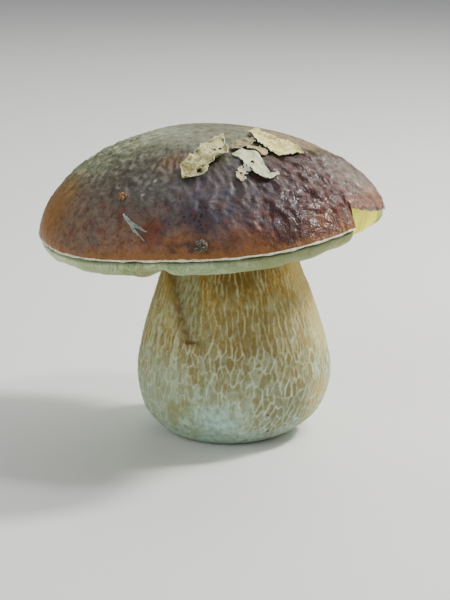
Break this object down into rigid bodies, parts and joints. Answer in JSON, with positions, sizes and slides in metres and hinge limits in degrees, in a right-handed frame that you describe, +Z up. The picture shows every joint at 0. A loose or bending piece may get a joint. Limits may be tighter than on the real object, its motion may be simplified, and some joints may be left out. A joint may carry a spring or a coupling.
{
  "type": "porcini mushroom",
  "caption": "Whole fresh porcini mushroom standing on its cut foot: brown domed cap, pale tube layer, thick netted stem, with dry leaf litter stuck to the cap.",
  "frame": {"origin": "centre of the cut at the stem's foot, on the face that the mushroom stands on", "axes": "+Z up along the stem, +X towards the bitten and higher side of the cap, -Y towards the front where the litter lies"},
  "size_m": [0.1284, 0.1265, 0.1163],
  "materials": {
    "cap": "smooth moist brown skin with lumps and fine wrinkles, paler and greyer on top, and a thin white edge",
    "tube_layer": "matt greenish-white fine tubes, yellower where they are torn",
    "stem": "matt tan flesh under a raised white net, whiter at the foot",
    "leaf_left": "dry matt leaf",
    "leaf_middle": "dry matt leaf, grey-brown",
    "leaf_crescent": "dry matt leaf, pale",
    "leaf_right": "dry matt leaf, cream",
    "leaf_scrap": "dry matt scrap, tan",
    "dry_husk": "thin papery grey husk",
    "soil_crumb": "rough dark crumb",
    "bark_crumb": "rough orange-brown crumb"
  },
  "bodies": {
    "root": {"cap": "cap", "tube_layer": "tube_layer", "stem": "stem", "leaf_left": "leaf_left", "leaf_middle": "leaf_middle", "leaf_crescent": "leaf_crescent", "leaf_right": "leaf_right", "leaf_scrap": "leaf_scrap", "dry_husk": "dry_husk", "soil_crumb": "soil_crumb", "bark_crumb": "bark_crumb"}
  },
  "joints": []
}
